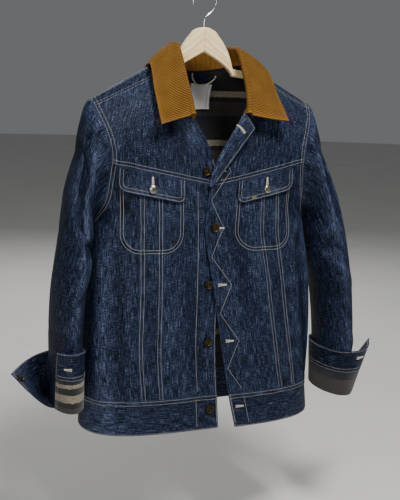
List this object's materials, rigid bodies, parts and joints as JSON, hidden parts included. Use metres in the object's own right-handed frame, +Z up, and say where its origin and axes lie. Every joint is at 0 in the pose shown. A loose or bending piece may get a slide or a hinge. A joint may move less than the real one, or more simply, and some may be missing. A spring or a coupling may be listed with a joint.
{
  "type": "trucker jacket on a hanger",
  "caption": "Short denim jacket with a corduroy collar, V-shaped yokes, flapped chest pockets, turned-up sleeves and a waistband, hanging open on a wooden hanger with a wire hook.",
  "frame": {"origin": "inside top of the hanger's hook, where a rail carries it", "axes": "+Z up along the hook's stem, the jacket's front faces -Y, the wearer's left is +X"},
  "size_m": [0.7729, 0.2074, 0.8155],
  "materials": {
    "denim": "indigo denim, twill, slubby",
    "corduroy": "golden brown corduroy, narrow wales",
    "lining": "striped wool blanket cloth, brushed",
    "label": "plain woven label, blank",
    "patina": "shank button, aged bronze",
    "silver": "shank button, domed and worn bright",
    "wood": "pale wood, clear matt lacquer",
    "wire": "thin bright wire"
  },
  "bodies": {
    "root": {"back_centre": "denim", "back_side_left": "denim", "back_side_right": "denim", "back_yoke": "denim", "collar": "corduroy", "cuff_button_left": "patina", "cuff_button_right": "patina", "cuff_left": "denim", "cuff_right": "denim", "flap_left": "denim", "flap_right": "denim", "flap_tab": "label", "front_button_1": "patina", "front_button_2": "patina", "front_button_3": "patina", "front_button_4": "patina", "front_button_5": "patina", "front_centre_left": "denim", "front_centre_right": "denim", "front_side_left": "denim", "front_side_right": "denim", "front_strip_left": "denim", "front_strip_right": "denim", "front_yoke_left": "denim", "front_yoke_right": "denim", "hanger_hook": "wire", "hanger_wood": "wood", "label_main": "label", "label_side": "label", "lapel_left": "denim", "lining_back": "lining", "neck_patch": "denim", "pocket_button_left": "silver", "pocket_button_right": "silver", "sleeve_top_left": "denim", "sleeve_top_right": "denim", "sleeve_under_left": "denim", "sleeve_under_right": "denim", "turnup_left": "lining", "turnup_right": "lining", "waistband_back": "denim", "waistband_front_left": "denim", "waistband_front_right": "denim"}
  },
  "joints": []
}
